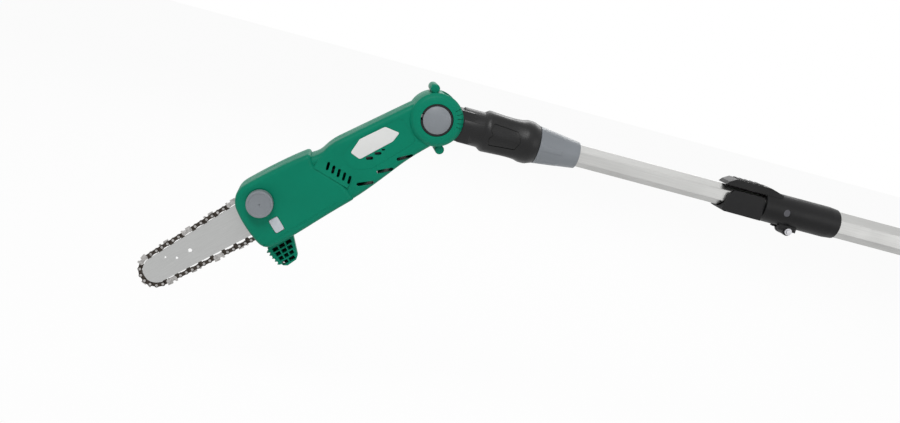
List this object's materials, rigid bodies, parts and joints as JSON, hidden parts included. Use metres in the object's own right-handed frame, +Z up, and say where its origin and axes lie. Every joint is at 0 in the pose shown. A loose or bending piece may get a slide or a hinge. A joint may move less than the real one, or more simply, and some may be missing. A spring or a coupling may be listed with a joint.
{
  "type": "telescoping pole saw",
  "caption": "Corded pole saw: a chain saw head that tilts on a locking hinge, on a telescoping hexagonal pole with a lever clamp, foam grip and trigger handle.",
  "frame": {"origin": "centre of the rear grip, on the axis of the pole", "axes": "+X along the pole from the saw head towards the rear handle, +Z up with the head bent down, the oil filler cap on the -Y side"},
  "size_m": [1.754, 0.086, 0.3951],
  "materials": {
    "green_shell": "fine textured green moulded plastic, satin",
    "black_plastic": "black glass-filled nylon, satin with a fine grain",
    "grey_plastic": "mid grey moulded plastic, satin",
    "bar_steel": "satin silver bar steel, ground along its length",
    "chain_steel": "dark oiled chain steel",
    "cutter_steel": "bright plated cutter steel",
    "machined_steel": "machined steel",
    "zinc_fastener": "bright zinc plated steel",
    "tube_aluminium": "drawn satin aluminium",
    "core_steel": "lacquered steel laminations",
    "copper": "bare copper segments",
    "brass": "plain brass",
    "tank_plastic": "milky polyethylene",
    "window_plastic": "translucent white plastic",
    "label_film": "white label plate with nothing on it",
    "foam": "black closed-cell foam",
    "lead_rubber": "black rubber lead"
  },
  "bodies": {
    "outer_pole": {"outer_tube": "tube_aluminium", "clamp_body": "black_plastic", "clamp_bolt": "zinc_fastener", "clamp_screw": "zinc_fastener", "foam_grip": "foam", "strap_ring": "black_plastic", "handle_left": "black_plastic", "handle_right": "black_plastic", "handle_screws": "zinc_fastener", "switch": "black_plastic", "cord_inlet": "black_plastic", "inlet_blades": "brass", "trigger_spring": "machined_steel", "coiled_lead": "lead_rubber"},
    "inner_pole": {"inner_tube": "tube_aluminium", "inner_tube_bush": "black_plastic", "inner_lead": "lead_rubber", "neck_left": "black_plastic", "neck_right": "black_plastic", "neck_screws": "zinc_fastener", "hinge_cap": "grey_plastic", "tilt_spring": "machined_steel"},
    "clamp_lever": {"clamp_lever": "black_plastic"},
    "trigger": {"trigger": "grey_plastic"},
    "lock_off_button": {"lock_off_button": "grey_plastic"},
    "lock_collar": {"lock_collar": "grey_plastic"},
    "tilt_button": {"tilt_button": "grey_plastic", "tilt_lock_pin": "machined_steel"},
    "head": {"housing_left": "green_shell", "housing_right": "green_shell", "housing_screws": "zinc_fastener", "sprocket_cover": "green_shell", "bar_studs": "zinc_fastener", "chain_drive_links": "chain_steel", "chain_tie_straps": "chain_steel", "chain_cutters": "cutter_steel", "chain_rivets": "chain_steel", "output_bearings": "machined_steel", "motor_bearings": "machined_steel", "field_core": "core_steel", "brush_gear": "brass", "oil_tank": "tank_plastic", "oil_window": "window_plastic", "oil_pump": "machined_steel", "oil_tube": "tank_plastic", "limb_stop": "green_shell", "label_plate": "label_film"},
    "bar": {"guide_bar": "bar_steel", "tension_pin": "machined_steel"},
    "tension_screw": {"tension_screw": "machined_steel"},
    "cover_knob": {"cover_knob": "black_plastic"},
    "oil_cap": {"oil_cap": "grey_plastic"},
    "output_shaft": {"output_shaft": "machined_steel", "output_gear": "machined_steel", "drive_sprocket": "machined_steel"},
    "armature": {"armature": "core_steel", "commutator": "copper", "cooling_fan": "black_plastic", "motor_pinion": "machined_steel"}
  },
  "joints": [
    {"name": "pole_slide", "type": "slide", "parent": "outer_pole", "child": "inner_pole", "axis": [-1, 0, 0], "range_m": [-0.2, 0.2], "deforming": ["coiled_lead"]},
    {"name": "head_tilt", "type": "hinge", "parent": "inner_pole", "child": "head", "pos_m": [-1.245, 0, 0], "axis": [0, 1, 0], "range_deg": [0, 45]},
    {"name": "tilt_button_press", "type": "slide", "parent": "inner_pole", "child": "tilt_button", "axis": [0, 1, 0], "range_m": [0, 0.004], "stiffness_N_per_m": 1500, "springref_m": -0.002, "deforming": ["tilt_spring"]},
    {"name": "lock_collar_turn", "type": "hinge", "parent": "inner_pole", "child": "lock_collar", "pos_m": [-1.066, 0, 0], "axis": [1, 0, 0], "range_deg": [0, 90]},
    {"name": "clamp_lever_swing", "type": "hinge", "parent": "outer_pole", "child": "clamp_lever", "pos_m": [-0.7124, 0, -0.0263], "axis": [0, -1, 0], "range_deg": [0, 100]},
    {"name": "oil_cap_turn", "type": "hinge", "parent": "head", "child": "oil_cap", "pos_m": [-1.45148, -0.036, -0.17466], "axis": [0, -1, 0], "continuous": true},
    {"name": "cover_knob_turn", "type": "hinge", "parent": "head", "child": "cover_knob", "pos_m": [-1.4444, 0.036, -0.19092], "axis": [0, 1, 0], "continuous": true},
    {"name": "output_shaft_spin", "type": "hinge", "parent": "head", "child": "output_shaft", "pos_m": [-1.41612, 0, -0.16264], "axis": [0, 1, 0], "continuous": true},
    {"name": "motor_spin", "type": "hinge", "parent": "head", "child": "armature", "pos_m": [-1.31995, 0, -0.06647], "axis": [-0.7071, 0, -0.7071], "continuous": true},
    {"name": "tension_screw_turn", "type": "hinge", "parent": "head", "child": "tension_screw", "pos_m": [-1.4338, 0.018, -0.20718], "axis": [-0.7071, 0, -0.7071], "range_deg": [-2160, 0]},
    {"name": "bar_tension", "type": "slide", "parent": "head", "child": "bar", "axis": [-0.7071, 0, -0.7071], "range_m": [-0.006, 0]},
    {"name": "trigger_pull", "type": "hinge", "parent": "outer_pole", "child": "trigger", "pos_m": [-0.024, 0, -0.011], "axis": [0, -1, 0], "range_deg": [0, 7], "stiffness_Nm_per_rad": 1.2, "springref_deg": -8.59, "deforming": ["trigger_spring"]},
    {"name": "lock_off_press", "type": "slide", "parent": "outer_pole", "child": "lock_off_button", "axis": [0, 0, -1], "range_m": [0, 0.003], "stiffness_N_per_m": 500, "springref_m": -0.002}
  ],
  "couplings": [
    {"joint": "motor_spin", "follows": "output_shaft_spin", "ratio": -4}
  ]
}
